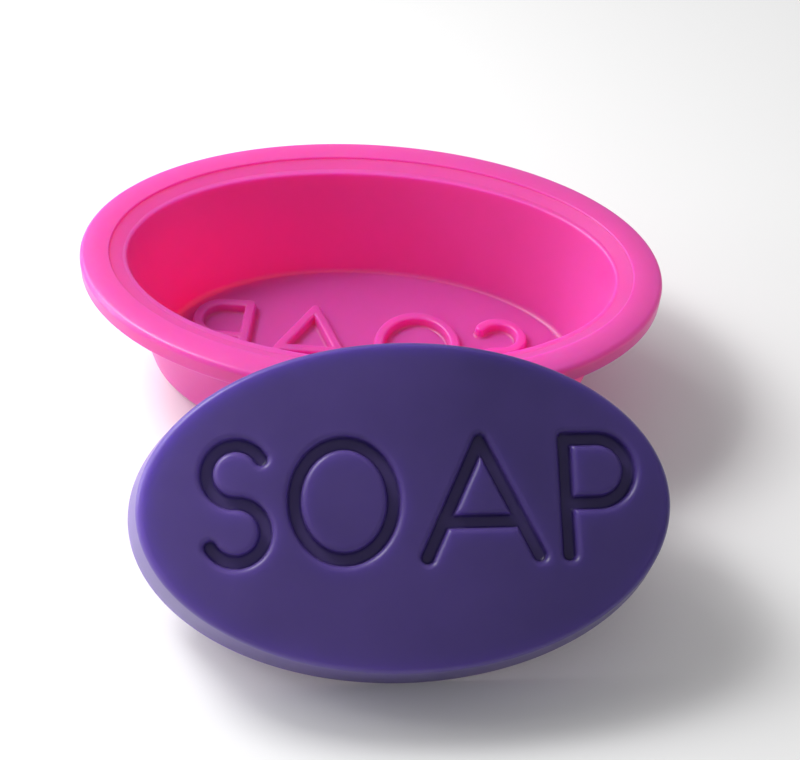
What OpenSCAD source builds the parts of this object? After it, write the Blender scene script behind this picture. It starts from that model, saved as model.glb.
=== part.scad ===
// Silicone soap mould, with the bar of soap cast in it leaning against its rim.
// Lengths are millimetres, angles are degrees.
// Z points up. The origin is the middle of the mould's flat underside, and X runs along its length.

/* [Mould] */
// Length over the rim
rim_length = 96; // [80:0.5:120]
// Width over the rim
rim_width = 66.5; // [56:0.5:90]
// Height from the underside to the top of the rim
mould_height = 24; // [18:0.5:32]
// Thickness of the floor under the cavity
floor_thickness = 2.5; // [1.5:0.1:4]
// Thickness of the cavity wall, measured level
wall_thickness = 1.8; // [1.2:0.1:3.5]

/* [Rim] */
// Width of the flat raised band around the rim
band_width = 4.8; // [3:0.1:7]
// Width of the lower ledge between the band and the cavity
ledge_width = 2.7; // [1:0.1:4]
// Drop from the band to the cavity's mouth
ledge_drop = 1.4; // [1.4:0.1:2]
// How much of that drop the ledge makes as it slopes in towards the cavity
ledge_fall = 0.8; // [0.2:0.1:0.8]
// Width of the level strip between the sloping ledge and the cavity's mouth
mouth_strip = 0.6; // [0.5:0.1:1.2]
// Thickness of the rim's flange
flange_thickness = 3.4; // [2.4:0.1:5]
// Radius of the rim's outer top edge
shoulder_radius = 0.9; // [0.3:0.1:1.4]
// Radius of the rim's outer bottom edge
lip_radius = 0.5; // [0.2:0.1:1]
// Radius of the band's inner edge
band_radius = 0.5; // [0.2:0.1:0.5]

/* [Cavity] */
// Width of the cavity at its mouth
cavity_width = 50; // [40:0.5:60]
// How much further in the cavity wall stands at the floor than at the mouth, at each end
cavity_draft = 4.4; // [1:0.1:6]
// Radius of the cavity's mouth
mouth_radius = 0.5; // [0.2:0.1:0.6]
// Radius between the cavity wall and the floor, and so of the cast bar's front edge
floor_fillet = 1.3; // [0.3:0.1:2]
// Radius of the underside's outer edge
base_radius = 3.5; // [0.3:0.1:4]

/* [Soap bar] */
// Thickness of the bar, which is how deep the mould was filled
bar_thickness = 12; // [8:0.5:18]
// Radius of the edge of the bar's back face
bar_back_radius = 0.5; // [0.2:0.1:1]
// Angle between the leaning bar and the ground
bar_tilt = 35.5; // [30:0.5:45]
// Turn of the leaning bar about the vertical
bar_turn = 7.5; // [-15:0.5:15]
// Sideways place of the bar's face
bar_side = 9; // [-20:0.5:20]
// Gap between the leaning bar and the rim
bar_gap = 0.3; // [0.2:0.05:1]

/* [Lettering] */
// Height of the capitals
letter_height = 17.5; // [12:0.5:22]
// Width of the strokes
stroke_width = 1.8; // [1.2:0.1:2.4]
// How far the letters stand up from the floor, and so how deep they go into the bar
letter_relief = 1.8; // [0.8:0.1:2.4]
// Sideways shift of the word on the bar's face
word_shift = 1.6; // [-3:0.1:3]
// Upward shift of the word on the bar's face
word_rise = 0.6; // [-3:0.1:3]

/* [Hidden] */
$fn = 96;
// Part of a solid that reaches into its neighbour, so that the two join.
lap = 0.5;

half_length = rim_length / 2;
half_width = rim_width / 2;

// Height and half height of the letters' centre lines.
line_height = letter_height - stroke_width;
line_half = line_height / 2;

// A hair under half the stroke, so that a round end's outline crosses the stroke's and doesn't just touch it.
stroke_end_radius = 0.49 * stroke_width;

// Each level of the mould is an oval, given by its half length and its width-to-length ratio.
rim_ratio = half_width / half_length;
band_inside = half_length - band_width;
band_ratio = (half_width - band_width) / band_inside;

mouth_half = band_inside - ledge_width;
mouth_z = mould_height - ledge_drop;
cavity_ratio = cavity_width / (2 * mouth_half);
floor_half = mouth_half - cavity_draft;
draft_slope = cavity_draft / (mouth_z - floor_thickness);

// The outside of the wall keeps the cavity's slope.
flange_z = mould_height - flange_thickness;
foot_half = floor_half + wall_thickness - floor_thickness * draft_slope;
neck_half = foot_half + mouth_z * draft_slope;
wall_ratio = (floor_half * cavity_ratio + wall_thickness) / (floor_half + wall_thickness);

bar_back_half = floor_half + bar_thickness * draft_slope;

// Height of the leaning bar's face centre, with the rounded back edge on the ground.
bar_down = [cavity_ratio * sin(bar_tilt), cos(bar_tilt)];
bar_z = [bar_back_half - bar_back_radius, bar_thickness - bar_back_radius] * bar_down
    + bar_back_radius * norm(bar_down);

// Distance of the face centre in front of the rim, with the back face a gap away from the shoulder.
lean = [sin(bar_turn) * sin(bar_tilt), rim_ratio * cos(bar_turn) * sin(bar_tilt), cos(bar_tilt)];
rim_support = (half_length - shoulder_radius) * norm([lean[0], lean[1]])
    + (mould_height - shoulder_radius) * lean[2] + shoulder_radius * norm(lean);
bar_reach = rim_support + bar_gap + bar_thickness - bar_z * cos(bar_tilt);
bar_y = (bar_side * sin(bar_turn) - bar_reach / sin(bar_tilt)) / cos(bar_turn);

// Round corner of a profile: points along the arc of radius r that touches both sides of the corner v.
// They run from the side towards p to the side towards q.
function unit(v) = v / norm(v);
function round_corner(v, p, q, r, steps = 6) =
    let (d1 = unit(p - v),
         d2 = unit(q - v),
         half = acos(d1 * d2) / 2,
         centre = v + unit(d1 + d2) * r / sin(half),
         first = v + d1 * r / tan(half) - centre,
         last = v + d2 * r / tan(half) - centre,
         start = atan2(first[1], first[0]),
         turn = atan2(first[0] * last[1] - first[1] * last[0], first * last))
    [for (k = [0 : steps]) centre + r * [cos(start + turn * k / steps), sin(start + turn * k / steps)]];

// Solid oval with the given width-to-length ratio, in four quarters.
// The profile is its section along the length.
module oval(ratio, profile) {
    for (quarter = [0 : 3])
        scale([1, ratio, 1])
            rotate([0, 0, 90 * quarter])
                rotate_extrude(angle = 90)
                    polygon(profile);
}

// Rim's flange as a solid plate, with a round shoulder and lip.
module flange() {
    middle_low = [0, flange_z];
    lip = [half_length, flange_z];
    shoulder = [half_length, mould_height];
    middle_high = [0, mould_height];
    oval(rim_ratio, concat([middle_low],
                           round_corner(lip, middle_low, shoulder, lip_radius),
                           round_corner(shoulder, lip, middle_high, shoulder_radius),
                           [middle_high]));
}

// Outside of the tray as a solid, from the underside up into the flange.
module tray() {
    middle_low = [0, 0];
    foot = [foot_half, 0];
    neck = [neck_half, mouth_z];
    oval(wall_ratio, concat([middle_low],
                            round_corner(foot, middle_low, neck, base_radius),
                            [neck, [0, mouth_z]]));
}

// Space inside the raised band, down to the ledge that slopes in to a level strip around the mouth.
module ledge_space() {
    strip = [mouth_half + mouth_strip, mouth_z];
    corner = [band_inside, mouth_z + ledge_fall];
    edge = [band_inside, mould_height];
    clear_z = mould_height + lap;
    oval(band_ratio, concat([[0, mouth_z], strip, corner],
                            round_corner(edge, corner, edge + [1, 0], band_radius),
                            [[band_inside + band_radius, clear_z], [0, clear_z]]));
}

// Space that takes the soap, with a round floor edge and a round mouth.
module cavity() {
    middle = [0, floor_thickness];
    toe = [floor_half, floor_thickness];
    mouth = [mouth_half, mouth_z];
    mouth_arc = round_corner(mouth, toe, mouth + [1, 0], mouth_radius);
    clear_z = mouth_z + lap;
    oval(cavity_ratio, concat([middle],
                              round_corner(toe, middle, mouth, floor_fillet),
                              mouth_arc,
                              [[mouth_arc[len(mouth_arc) - 1][0], clear_z], [0, clear_z]]));
}

// One straight stroke with round ends.
module straight_stroke(p, q) {
    direction = q - p;
    translate(p)
        rotate([0, 0, atan2(direction[1], direction[0])])
            translate([0, -stroke_width / 2])
                square([norm(direction), stroke_width]);
    stroke_end(p);
    stroke_end(q);
}

// Round end of a stroke.
module stroke_end(p) {
    translate(p)
        circle(stroke_end_radius);
}

// Curved stroke about a centre, from one angle through a turn to the left.
module arc_stroke(centre, radius, start, turn) {
    far = 2 * (radius + stroke_width);
    steps = 6;
    translate(centre)
        intersection() {
            difference() {
                circle(radius + stroke_width / 2);
                circle(radius - stroke_width / 2);
            }
            polygon(concat([[0, 0]], [for (k = [0 : steps])
                far * [cos(start + turn * k / steps), sin(start + turn * k / steps)]]));
        }
}

// Two bowls that turn opposite ways and meet in the middle.
module letter_s() {
    bowl = line_height / 4;
    opening = 30;
    arc_stroke([0, bowl], bowl, opening, 270 - opening);
    arc_stroke([0, -bowl], bowl, 180 + opening, 270 - opening);
    stroke_end([bowl * cos(opening), bowl + bowl * sin(opening)]);
    stroke_end([-bowl * cos(opening), -bowl - bowl * sin(opening)]);
}

// Disc that is wider or narrower than it is tall.
module oval_disc(width, height) {
    scale([width / height, 1])
        circle(height / 2);
}

// Ring a little taller than it is wide.
module letter_o() {
    letter_width = 15.2;
    difference() {
        oval_disc(letter_width, letter_height);
        oval_disc(letter_width - 2 * stroke_width, letter_height - 2 * stroke_width);
    }
}

// Two slanted legs with a level crossbar.
module letter_a() {
    foot_spread = 7.6;
    bar_height = 0.3;
    apex = [0, line_half];
    left_foot = [-foot_spread, -line_half];
    right_foot = [foot_spread, -line_half];
    straight_stroke(apex, left_foot);
    straight_stroke(apex, right_foot);
    straight_stroke(left_foot + (apex - left_foot) * bar_height,
                    right_foot + (apex - right_foot) * bar_height);
}

// Upright stem with a bowl on its upper part.
module letter_p() {
    stem_x = -4;
    bowl = 4.4;
    bowl_x = 0.4;
    straight_stroke([stem_x, -line_half], [stem_x, line_half]);
    straight_stroke([stem_x, line_half], [bowl_x, line_half]);
    straight_stroke([stem_x, line_half - 2 * bowl], [bowl_x, line_half - 2 * bowl]);
    arc_stroke([bowl_x, line_half - bowl], bowl, -90, 180);
}

// The word as it reads on the bar's face.
module word() {
    translate([word_shift, word_rise]) {
        translate([-24.6, 0])
            letter_s();
        translate([-10.1, 0])
            letter_o();
        translate([8.6, 0])
            letter_a();
        translate([24.3, 0])
            letter_p();
    }
}

// One moulding of silicone rubber: rim, wall, floor and the raised letters, which are a mirror image.
module mould() {
    color("hotpink") {
        difference() {
            union() {
                flange();
                tray();
            }
            ledge_space();
            cavity();
        }
        translate([0, 0, floor_thickness - lap])
            linear_extrude(letter_relief + lap)
                mirror([1, 0])
                    word();
    }
}

// The bar before its letters, with the lettered face at z = 0.
module bar_blank() {
    middle_face = [0, 0];
    face = [floor_half, 0];
    back = [bar_back_half, -bar_thickness];
    middle_back = [0, -bar_thickness];
    oval(cavity_ratio, concat([middle_back],
                              round_corner(back, middle_back, face, bar_back_radius),
                              round_corner(face, back, middle_face, floor_fillet),
                              [middle_face]));
}

// The cast bar, with its letters sunk into the face.
module soap_bar() {
    color("slateblue")
        translate([bar_side, bar_y, bar_z])
            rotate([bar_tilt, 0, bar_turn])
                difference() {
                    bar_blank();
                    translate([0, 0, -letter_relief])
                        linear_extrude(letter_relief + lap)
                            word();
                }
}

mould();
soap_bar();
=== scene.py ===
"""Looks of the oval silicone soap mould and of the soap bar cast in it.

The CAD model gives both pieces their size and place. Here each one is built again as a finer surface,
with soft edges on its rim and letters, and gets its material. Lengths in the shape section are
millimetres in the mould's frame: Z up, origin at the middle of its underside, X along its length.
"""

import math

import bmesh
import bpy
import numpy as np
from mathutils import Matrix, Vector
from mathutils.geometry import delaunay_2d_cdt


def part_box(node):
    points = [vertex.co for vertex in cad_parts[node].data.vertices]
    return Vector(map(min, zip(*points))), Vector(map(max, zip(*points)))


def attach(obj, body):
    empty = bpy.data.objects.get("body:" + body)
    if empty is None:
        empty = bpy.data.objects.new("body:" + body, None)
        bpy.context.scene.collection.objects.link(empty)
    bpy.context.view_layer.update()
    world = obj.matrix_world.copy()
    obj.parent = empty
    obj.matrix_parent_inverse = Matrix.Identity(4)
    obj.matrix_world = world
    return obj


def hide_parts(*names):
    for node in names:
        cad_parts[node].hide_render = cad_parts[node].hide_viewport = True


MM = 0.001

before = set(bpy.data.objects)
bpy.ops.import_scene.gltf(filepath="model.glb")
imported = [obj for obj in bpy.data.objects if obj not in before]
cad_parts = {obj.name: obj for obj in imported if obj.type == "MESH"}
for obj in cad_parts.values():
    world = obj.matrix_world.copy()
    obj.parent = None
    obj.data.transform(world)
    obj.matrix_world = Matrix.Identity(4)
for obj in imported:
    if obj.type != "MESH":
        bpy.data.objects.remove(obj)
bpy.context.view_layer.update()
_, mould_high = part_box("mould")
bar_low, bar_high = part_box("soap_bar")

# ---------------------------------------------------------------- sizes, in millimetres

HALF_LENGTH = mould_high.x / MM
HALF_WIDTH = mould_high.y / MM
HEIGHT = mould_high.z / MM
FLOOR = 2.5
WALL = 1.8
BAND = 4.8
LEDGE = 2.7
LEDGE_DROP = 1.4
LEDGE_FALL = 0.8
MOUTH_STRIP = 0.6
FLANGE = 3.4
CAVITY_WIDTH = 50.0
CAVITY_DRAFT = 4.4
FLOOR_FILLET = 1.3
BASE_RADIUS = 3.5

# Edge radii of the rim and mouth, and the crown of the band on top of the rim.
LIP_RADIUS = 0.5
SHOULDER_RADIUS = 0.9
NECK_RADIUS = 0.5
BAND_EDGE_RADIUS = 0.2
LEDGE_CORNER_RADIUS = 0.1
STRIP_RADIUS = 0.4
MOUTH_RADIUS = 0.5
CROWN_FALL = 0.3
CROWN_RADIUS = 10.0

BAR_THICKNESS = 12.0
BAR_BACK_RADIUS = 0.5
BAR_TILT = math.radians(35.5)
BAR_TURN = math.radians(7.5)

LETTER_HEIGHT = 17.5
STROKE = 1.8
RELIEF = 1.8
WORD_SHIFT = (1.6, 0.6)
LETTER_TOP_RADIUS = 0.45
MOULD_LETTER_FOOT_RADIUS = 0.5
BAR_LETTER_FOOT_RADIUS = 0.85

# Points in each level ring, and the spacing of the points along a letter's outlines.
AROUND = 288
OUTLINE_SPACING = 0.22

# Points closer than this, in metres, are one point.
JOIN_DISTANCE = 2e-7


# ---------------------------------------------------------------- small geometry helpers


def unit(vector):
    return vector / np.linalg.norm(vector)


def round_corner(corner, before, after, radius, steps=6):
    """Points along the arc of that radius that touches both sides of a profile's corner."""
    corner, before, after = (np.array(p, float) for p in (corner, before, after))
    side_in = unit(before - corner)
    side_out = unit(after - corner)
    half = math.acos(float(side_in @ side_out)) / 2
    centre = corner + unit(side_in + side_out) * radius / math.sin(half)
    first = corner + side_in * radius / math.tan(half) - centre
    last = corner + side_out * radius / math.tan(half) - centre
    start = math.atan2(first[1], first[0])
    turn = math.atan2(first[0] * last[1] - first[1] * last[0], float(first @ last))
    angles = [start + turn * k / steps for k in range(steps + 1)]
    return [tuple(centre + radius * np.array([math.cos(a), math.sin(a)])) for a in angles]


def oval_ring(half_length, half_width, height):
    """Points of one level oval, the same number at every level so that rings can be joined."""
    angles = np.arange(AROUND) * 2 * math.pi / AROUND
    return np.column_stack([
        half_length * np.cos(angles),
        half_width * np.sin(angles),
        np.full(AROUND, height),
    ])


def ring_faces(first_ring, ring_count):
    """Quads between neighbouring rings whose points start at index first_ring."""
    faces = []
    for ring in range(ring_count - 1):
        low = first_ring + ring * AROUND
        high = low + AROUND
        for k in range(AROUND):
            n = (k + 1) % AROUND
            faces.append((low + k, low + n, high + n, high + k))
    return faces


# ---------------------------------------------------------------- lettering

LINE_HALF = (LETTER_HEIGHT - STROKE) / 2


def arc_points(centre, radius, start, turn, step=0.2):
    """Points along an arc, with angles in degrees."""
    count = max(8, int(math.radians(abs(turn)) * radius / step))
    angles = np.radians(start + turn * np.arange(count + 1) / count)
    return np.column_stack([
        centre[0] + radius * np.cos(angles),
        centre[1] + radius * np.sin(angles),
    ])


def letter_s():
    bowl = LINE_HALF / 2
    opening = 30
    upper = arc_points((0, bowl), bowl, opening, 270 - opening)
    lower = arc_points((0, -bowl), bowl, 90, -(270 - opening))
    return [np.vstack([upper, lower[1:]])]


def letter_o():
    half_width = 13.4 / 2
    angles = np.arange(161) * 2 * math.pi / 160
    return [np.column_stack([half_width * np.cos(angles), LINE_HALF * np.sin(angles)])]


def letter_a():
    apex = np.array([0, LINE_HALF])
    left = np.array([-7.6, -LINE_HALF])
    right = np.array([7.6, -LINE_HALF])
    crossbar = 0.3
    return [
        np.array([left, apex, right]),
        np.array([left + (apex - left) * crossbar, right + (apex - right) * crossbar]),
    ]


def letter_p():
    stem_x = -4.0
    bowl = 4.4
    bowl_x = 0.4
    curve = arc_points((bowl_x, LINE_HALF - bowl), bowl, 90, -180)
    return [
        np.array([[stem_x, -LINE_HALF], [stem_x, LINE_HALF]]),
        np.vstack([[[stem_x, LINE_HALF]], curve, [[stem_x, LINE_HALF - 2 * bowl]]]),
    ]


def word_lines():
    """Centre lines of the word as it reads on the bar's face."""
    lines = []
    for letter, x in ((letter_s, -24.6), (letter_o, -10.1), (letter_a, 8.6), (letter_p, 24.3)):
        for line in letter():
            lines.append(line + np.array([x + WORD_SHIFT[0], WORD_SHIFT[1]]))
    return lines


def line_distance(points, lines):
    """Distance from each point to the nearest centre line, for points within reach of one."""
    reach = 3.0
    nearest = np.full(len(points), np.inf)
    for line in lines:
        for a, b in zip(line[:-1], line[1:]):
            along = b - a
            near = np.all(np.abs(points - (a + b) / 2) < np.abs(along) / 2 + reach, axis=1)
            if not near.any():
                continue
            offset = points[near] - a
            t = np.clip(offset @ along / (along @ along), 0, 1)
            gap = np.hypot(*(offset - t[:, None] * along).T)
            nearest[near] = np.minimum(nearest[near], gap)
    return nearest


def relief_steps(foot_radius):
    """Distance from the centre line and height above the floor, from a letter's top down to its foot."""
    slant = 0.06
    top_edge = (STROKE / 2 - slant, RELIEF)
    foot = (STROKE / 2 + slant, 0.0)
    edge = round_corner(top_edge, (0, RELIEF), foot, LETTER_TOP_RADIUS, steps=5)
    fillet = round_corner(foot, top_edge, (3, 0), foot_radius, steps=6)
    return edge + fillet


def level_lines(values, level, xs, ys):
    """Closed lines on a grid along which the values equal the level, by marching squares."""
    above = values > level
    corners = above[:-1, :-1].astype(int) + above[1:, :-1] + above[1:, 1:] + above[:-1, 1:]
    links = {}

    def crossing(i, j, upright):
        u, v = (i, j + 1) if upright else (i + 1, j)
        t = (level - values[i, j]) / (values[u, v] - values[i, j])
        return (xs[i] + t * (xs[u] - xs[i]), ys[j] + t * (ys[v] - ys[j]))

    def link(a, b):
        links.setdefault(a, []).append(b)
        links.setdefault(b, []).append(a)

    for i, j in np.argwhere((corners > 0) & (corners < 4)):
        south = (i, j, 0) if above[i, j] != above[i + 1, j] else None
        north = (i, j + 1, 0) if above[i, j + 1] != above[i + 1, j + 1] else None
        west = (i, j, 1) if above[i, j] != above[i, j + 1] else None
        east = (i + 1, j, 1) if above[i + 1, j] != above[i + 1, j + 1] else None
        cut = [e for e in (south, east, north, west) if e]
        if len(cut) == 2:
            link(*cut)
        elif above[i, j] == (values[i:i + 2, j:j + 2].mean() > level):
            link(south, east)
            link(north, west)
        else:
            link(south, west)
            link(north, east)
    lines = []
    unused = set(links)
    while unused:
        start = unused.pop()
        chain = [start]
        here, previous = links[start][0], start
        while here != start:
            chain.append(here)
            unused.discard(here)
            one, other = links[here]
            here, previous = (other if one == previous else one), here
        lines.append(np.array([crossing(*edge) for edge in chain]))
    return lines


def even_spacing(line, spacing):
    """The closed line again, with its points about the given distance apart."""
    closed = np.vstack([line, line[:1]])
    run = np.concatenate([[0], np.cumsum(np.hypot(*np.diff(closed, axis=0).T))])
    count = max(12, int(round(run[-1] / spacing)))
    at = np.arange(count) * run[-1] / count
    return np.column_stack([np.interp(at, run, closed[:, 0]), np.interp(at, run, closed[:, 1])])


def relief_surface(half_length, half_width, foot_radius, mirror):
    """Flat oval with the word raised on it: points with heights above the flat, and triangles."""
    lines = word_lines()
    margin = 2.0
    low = np.min([line.min(axis=0) for line in lines], axis=0) - margin
    high = np.max([line.max(axis=0) for line in lines], axis=0) + margin
    cell = 0.14
    xs = np.arange(low[0], high[0], cell)
    ys = np.arange(low[1], high[1], cell)
    grid = np.stack(np.meshgrid(xs, ys, indexing="ij"), axis=-1).reshape(-1, 2)
    values = line_distance(grid, lines).reshape(len(xs), len(ys))
    points = []
    heights = []
    edges = []

    def add_loop(loop, height):
        first = len(points)
        points.extend(loop)
        heights.extend([height] * len(loop))
        edges.extend((first + k, first + (k + 1) % len(loop)) for k in range(len(loop)))

    for distance, height in relief_steps(foot_radius):
        for line in level_lines(values, distance, xs, ys):
            add_loop(even_spacing(line, OUTLINE_SPACING), height)
    add_loop(oval_ring(half_length, half_width, 0)[:, :2], 0.0)
    flat = [Vector(p) for p in points]
    made, _, faces, origins, _, _ = delaunay_2d_cdt(flat, edges, [], 0, 1e-6)
    height_of = [max((heights[o] for o in origin), default=0.0) for origin in origins]
    side = -1 if mirror else 1
    verts = [(side * p.x, p.y, h) for p, h in zip(made, height_of)]
    return verts, [tuple(f) for f in faces]


# ---------------------------------------------------------------- meshes


def make_piece(name, parts, place=None, material=None):
    """One mesh from lists of points and faces in millimetres, joined where they share points."""
    verts = []
    faces = []
    for part_verts, part_faces in parts:
        first = len(verts)
        verts.extend(tuple(float(c) * MM for c in v) for v in part_verts)
        faces.extend(tuple(first + i for i in f) for f in part_faces)
    mesh = bpy.data.meshes.new(name)
    mesh.from_pydata(verts, [], faces)
    if place is not None:
        mesh.transform(place)
    joined = bmesh.new()
    joined.from_mesh(mesh)
    bmesh.ops.remove_doubles(joined, verts=joined.verts, dist=JOIN_DISTANCE)
    bmesh.ops.recalc_face_normals(joined, faces=joined.faces)
    for face in joined.faces:
        face.smooth = True
    joined.to_mesh(mesh)
    joined.free()
    piece = bpy.data.objects.new(name, mesh)
    bpy.context.scene.collection.objects.link(piece)
    weighted = piece.modifiers.new("even_shading", "WEIGHTED_NORMAL")
    weighted.mode = "FACE_AREA"
    weighted.weight = 50
    mesh.materials.append(material)
    return piece


def scaled_rings(profile, ratio):
    """Rings for profile points (half length, height), each as wide as the ratio says."""
    return [oval_ring(x, x * ratio, z) for x, z in profile]


def rim_rings(profile):
    """Rings for profile points (half length, height), each as far inside the rim all the way round."""
    return [oval_ring(x, x - (HALF_LENGTH - HALF_WIDTH), z) for x, z in profile]


def mould_shape():
    """Rim, wall and floor of the mould, from the middle of the underside round to the cavity floor."""
    mouth_z = HEIGHT - LEDGE_DROP
    flange_z = HEIGHT - FLANGE
    band_inside = HALF_LENGTH - BAND
    mouth = band_inside - LEDGE
    floor = mouth - CAVITY_DRAFT
    slope = CAVITY_DRAFT / (mouth_z - FLOOR)
    cavity_ratio = CAVITY_WIDTH / (2 * mouth)
    wall_ratio = (floor * cavity_ratio + WALL) / (floor + WALL)
    foot = floor + WALL - FLOOR * slope
    neck = foot + flange_z * slope

    underside = scaled_rings(
        [(foot * k / 6, 0.0) for k in range(1, 6)]
        + round_corner((foot, 0), (0, 0), (neck, flange_z), BASE_RADIUS, steps=10)
        + round_corner((neck, flange_z), (foot, 0), (HALF_LENGTH, flange_z), NECK_RADIUS, steps=4)[:-1],
        wall_ratio,
    )

    # The band on top of the rim is slightly crowned, so its highest line runs along its middle.
    band_slope = math.atan2(CROWN_FALL, BAND / 2)
    crown_z = HEIGHT + CROWN_RADIUS * (1 / math.cos(band_slope) - 1)
    lip = (HALF_LENGTH, flange_z)
    shoulder = (HALF_LENGTH, crown_z - CROWN_FALL)
    crown = (HALF_LENGTH - BAND / 2, crown_z)
    edge = (band_inside, crown_z - CROWN_FALL)
    corner = (band_inside, mouth_z + LEDGE_FALL)
    strip = (mouth + MOUTH_STRIP, mouth_z)
    rim = rim_rings(
        round_corner(lip, (0, flange_z), shoulder, LIP_RADIUS, steps=4)
        + round_corner(shoulder, lip, crown, SHOULDER_RADIUS, steps=8)
        + round_corner(crown, shoulder, edge, CROWN_RADIUS, steps=6)
        + round_corner(edge, crown, corner, BAND_EDGE_RADIUS, steps=5)
        + round_corner(corner, edge, strip, LEDGE_CORNER_RADIUS, steps=3)
        + round_corner(strip, corner, (mouth, mouth_z), STRIP_RADIUS, steps=4)
    )
    cavity = scaled_rings(
        round_corner((mouth, mouth_z), (mouth + 1, mouth_z), (floor, FLOOR), MOUTH_RADIUS, steps=6)
        + [(mouth - CAVITY_DRAFT * k / 5, mouth_z - (mouth_z - FLOOR) * k / 5) for k in range(1, 5)]
        + round_corner((floor, FLOOR), (mouth, mouth_z), (0, FLOOR), FLOOR_FILLET, steps=8),
        cavity_ratio,
    )
    rings = underside + rim + cavity
    verts = np.vstack(rings)
    faces = ring_faces(0, len(rings))
    verts = np.vstack([verts, [[0, 0, 0]]])
    middle = len(verts) - 1
    faces += [(middle, k, (k + 1) % AROUND) for k in range(AROUND)]
    flat_length = rings[-1][:, 0].max()
    flat_width = rings[-1][:, 1].max()
    letters, letter_faces = relief_surface(
        flat_length, flat_width, MOULD_LETTER_FOOT_RADIUS, mirror=True
    )
    letters = [(x, y, FLOOR + h) for x, y, h in letters]
    return [(verts, faces), (letters, letter_faces)]


def bar_shape():
    """The bar with its lettered face at z = 0 and its back below it."""
    mouth = HALF_LENGTH - BAND - LEDGE
    floor = mouth - CAVITY_DRAFT
    slope = CAVITY_DRAFT / (HEIGHT - LEDGE_DROP - FLOOR)
    ratio = CAVITY_WIDTH / (2 * mouth)
    back = floor + BAR_THICKNESS * slope
    rings = scaled_rings(
        [(back * k / 6, -BAR_THICKNESS) for k in range(1, 6)]
        + round_corner((back, -BAR_THICKNESS), (0, -BAR_THICKNESS), (floor, 0), BAR_BACK_RADIUS, steps=5)
        + [(back + (floor - back) * k / 4, BAR_THICKNESS * (k / 4 - 1)) for k in range(1, 4)]
        + round_corner((floor, 0), (back, -BAR_THICKNESS), (0, 0), FLOOR_FILLET, steps=8),
        ratio,
    )
    verts = np.vstack(rings + [[[0, 0, -BAR_THICKNESS]]])
    faces = ring_faces(0, len(rings))
    middle = len(verts) - 1
    faces += [(middle, k, (k + 1) % AROUND) for k in range(AROUND)]
    letters, letter_faces = relief_surface(
        rings[-1][:, 0].max(), rings[-1][:, 1].max(), BAR_LETTER_FOOT_RADIUS, mirror=False
    )
    letters = [(x, y, -h) for x, y, h in letters]
    return [(verts, faces), (letters, letter_faces)]


def bar_place(parts):
    """Turn of the leaning bar, and the move that puts its box where the CAD model's is."""
    turn = Matrix.Rotation(BAR_TURN, 4, "Z") @ Matrix.Rotation(BAR_TILT, 4, "X")
    corners = np.vstack([np.array(verts, float) for verts, _ in parts]) * MM
    turned = corners @ np.array(turn.to_3x3()).T
    middle = Vector((turned.min(axis=0) + turned.max(axis=0)) / 2)
    return Matrix.Translation((bar_low + bar_high) / 2 - middle) @ turn


# ---------------------------------------------------------------- materials

SILICONE_COLOURS = ((0.68, 0.07, 0.37), (0.72, 0.075, 0.395))
SOAP_DARK_COLOURS = ((0.046, 0.027, 0.145), (0.062, 0.037, 0.185))
# Painted light: the pale colours stand for light glowing through the bar's left end.
SOAP_PAINTED_LIGHT_COLOURS = ((0.115, 0.072, 0.30), (0.15, 0.096, 0.38))


def new_material(name):
    """An empty node material: (material, its Principled shader, its nodes, its links)."""
    material = bpy.data.materials.new(name)
    material.use_nodes = True
    nodes = material.node_tree.nodes
    shader = nodes["Principled BSDF"]
    return material, shader, nodes, material.node_tree.links


def add_noise(nodes, links, scale, detail):
    """Noise in the piece's own coordinates, which are metres."""
    place = nodes.new("ShaderNodeTexCoord")
    noise = nodes.new("ShaderNodeTexNoise")
    noise.inputs["Scale"].default_value = scale
    noise.inputs["Detail"].default_value = detail
    links.new(place.outputs["Object"], noise.inputs["Vector"])
    return noise


def mix_colours(nodes, links, factor, low, high):
    """Colour ramp from low to high, driven by the factor socket."""
    ramp = nodes.new("ShaderNodeValToRGB")
    ramp.color_ramp.elements[0].position = 0.3
    ramp.color_ramp.elements[0].color = (*low, 1)
    ramp.color_ramp.elements[1].position = 0.7
    ramp.color_ramp.elements[1].color = (*high, 1)
    links.new(factor, ramp.inputs["Fac"])
    return ramp.outputs["Color"]


def add_bump(nodes, links, height, shader, strength, distance):
    bump = nodes.new("ShaderNodeBump")
    bump.inputs["Strength"].default_value = strength
    bump.inputs["Distance"].default_value = distance
    links.new(height, bump.inputs["Height"])
    links.new(bump.outputs["Normal"], shader.inputs["Normal"])


def silicone_material():
    """Hot pink silicone rubber: light goes several millimetres into it, and the skin is a soft satin."""
    material, shader, nodes, links = new_material("silicone")
    cloud = add_noise(nodes, links, 60, 3)
    colour = mix_colours(nodes, links, cloud.outputs["Fac"], *SILICONE_COLOURS)
    links.new(colour, shader.inputs["Base Color"])
    shader.inputs["Roughness"].default_value = 0.36
    shader.inputs["Specular IOR Level"].default_value = 0.45
    shader.inputs["Subsurface Weight"].default_value = 1.0
    shader.inputs["Subsurface Radius"].default_value = (1.0, 0.1, 0.42)
    shader.inputs["Subsurface Scale"].default_value = 0.008
    grain = add_noise(nodes, links, 900, 4)
    add_bump(nodes, links, grain.outputs["Fac"], shader, 0.06, 0.0002)
    return material


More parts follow.
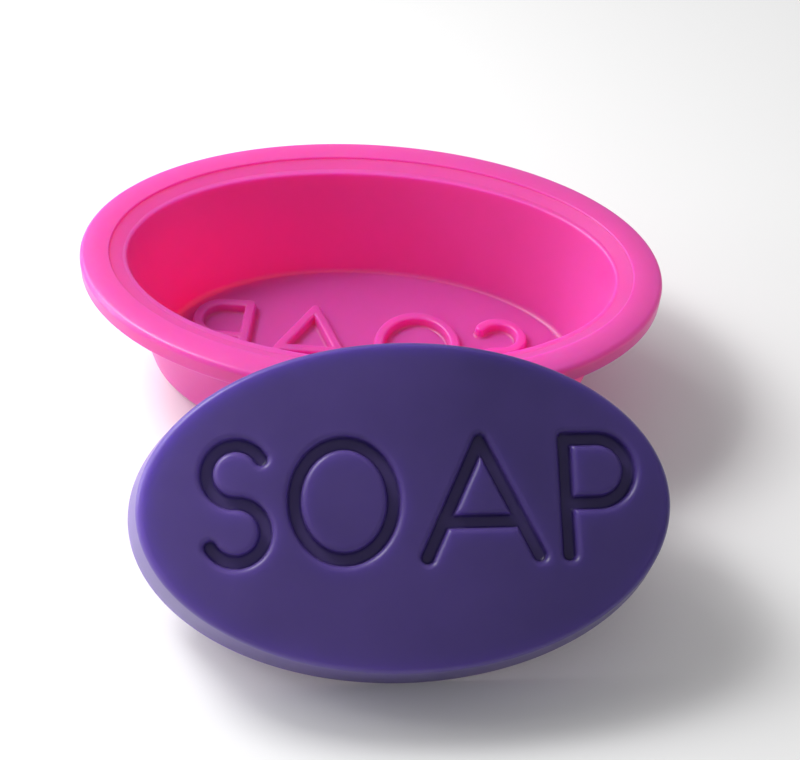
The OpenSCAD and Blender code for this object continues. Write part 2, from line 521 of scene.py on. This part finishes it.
def painted_light_end(nodes, links):
    """Factor for the painted light, which falls from 1 at the bar's left end to 0 at its right end, most of
    it near the left end.
    """
    place = nodes.new("ShaderNodeTexCoord")
    axes = nodes.new("ShaderNodeSeparateXYZ")
    links.new(place.outputs["Object"], axes.inputs["Vector"])
    along = nodes.new("ShaderNodeMapRange")
    along.inputs["From Min"].default_value = bar_high.x
    along.inputs["From Max"].default_value = bar_low.x
    links.new(axes.outputs["X"], along.inputs["Value"])
    bend = nodes.new("ShaderNodeMath")
    bend.operation = "POWER"
    bend.inputs[1].default_value = 2.6
    links.new(along.outputs["Result"], bend.inputs[0])
    return bend.outputs["Value"]


def soap_material():
    """Violet cast soap: slightly cloudy, with a smooth face, and with painted light towards its left end.

    The paler left end is painted light, a glow of light through the soap painted into its colour, not the
    soap's own colour.
    """
    material, shader, nodes, links = new_material("soap")
    cloud = add_noise(nodes, links, 45, 4)
    dark = mix_colours(nodes, links, cloud.outputs["Fac"], *SOAP_DARK_COLOURS)
    painted_light = mix_colours(nodes, links, cloud.outputs["Fac"], *SOAP_PAINTED_LIGHT_COLOURS)
    blend = nodes.new("ShaderNodeMixRGB")
    # Painted light: the bar is made paler towards its left end, where light glows through the soap.
    links.new(painted_light_end(nodes, links), blend.inputs["Fac"])
    links.new(dark, blend.inputs["Color1"])
    links.new(painted_light, blend.inputs["Color2"])
    links.new(blend.outputs["Color"], shader.inputs["Base Color"])
    shader.inputs["Roughness"].default_value = 0.35
    shader.inputs["Specular IOR Level"].default_value = 0.3
    shader.inputs["Subsurface Weight"].default_value = 1.0
    shader.inputs["Subsurface Radius"].default_value = (0.6, 0.45, 0.9)
    shader.inputs["Subsurface Scale"].default_value = 0.01
    grain = add_noise(nodes, links, 500, 4)
    add_bump(nodes, links, grain.outputs["Fac"], shader, 0.05, 0.0002)
    return material


# ---------------------------------------------------------------- pieces

mould = make_piece("mould_body", mould_shape(), material=silicone_material())
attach(mould, "mould")
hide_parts("mould")

bar_parts = bar_shape()
bar = make_piece("cast_bar", bar_parts, place=bar_place(bar_parts), material=soap_material())
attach(bar, "bar")
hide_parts("soap_bar")


# ---------------------------------------------------------------- floor, lights and camera


def add_floor():
    bpy.ops.mesh.primitive_plane_add(size=6, location=(0, 0, 0))
    floor = bpy.context.object
    floor.name = "floor"
    material, shader, _, _ = new_material("floor")
    shader.inputs["Base Color"].default_value = (0.9, 0.9, 0.9, 1)
    shader.inputs["Roughness"].default_value = 0.7
    floor.data.materials.append(material)


def add_light(name, place, aim, size, power):
    """Square soft light at a place, aimed at a point."""
    light = bpy.data.lights.new(name, "AREA")
    light.shape = "SQUARE"
    light.size = size
    light.energy = power
    lamp = bpy.data.objects.new(name, light)
    lamp.location = place
    lamp.rotation_mode = "QUATERNION"
    lamp.rotation_quaternion = (Vector(aim) - Vector(place)).to_track_quat("-Z", "Y")
    bpy.context.scene.collection.objects.link(lamp)


def add_world(strength):
    world = bpy.data.worlds.new("studio")
    world.use_nodes = True
    background = world.node_tree.nodes["Background"]
    background.inputs["Color"].default_value = (1, 1, 1, 1)
    background.inputs["Strength"].default_value = strength
    bpy.context.scene.world = world


def add_camera():
    """Camera a little to the right, looking down on the mould from the front."""
    azimuth = math.radians(1.1)
    elevation = math.radians(42.7)
    roll = math.radians(-3.5)
    distance = 0.2145
    aside = Vector((-0.00465, 0.02106))
    back = Vector((
        math.sin(azimuth) * math.cos(elevation),
        -math.cos(azimuth) * math.cos(elevation),
        math.sin(elevation),
    ))
    level_right = Vector((math.cos(azimuth), math.sin(azimuth), 0))
    level_up = back.cross(level_right)
    right = level_right * math.cos(roll) - level_up * math.sin(roll)
    up = level_right * math.sin(roll) + level_up * math.cos(roll)
    centre = Vector((0, 0, mould_high.z))
    camera = bpy.data.objects.new("camera", bpy.data.cameras.new("camera"))
    camera.data.lens = 58.5
    camera.data.sensor_width = 36
    camera.data.clip_start = 0.01
    camera.data.clip_end = 20
    place = centre + back * distance - right * aside.x - up * aside.y
    camera.matrix_world = Matrix((
        (right.x, up.x, back.x, place.x),
        (right.y, up.y, back.y, place.y),
        (right.z, up.z, back.z, place.z),
        (0, 0, 0, 1),
    ))
    bpy.context.scene.collection.objects.link(camera)
    bpy.context.scene.camera = camera


add_floor()
add_world(0.4)
add_light("key", (-1.2, 0.5, 1.05), (0, 0, 0), 1.2, 20)
add_light("kicker", (-0.15, 0.03, 0.22), (0, -0.02, 0.01), 0.08, 0.35)
add_light("side", (-0.28, -0.02, 0.07), (-0.04, -0.01, 0.015), 0.08, 0.22)
add_camera()
bpy.context.scene.view_settings.view_transform = "Standard"
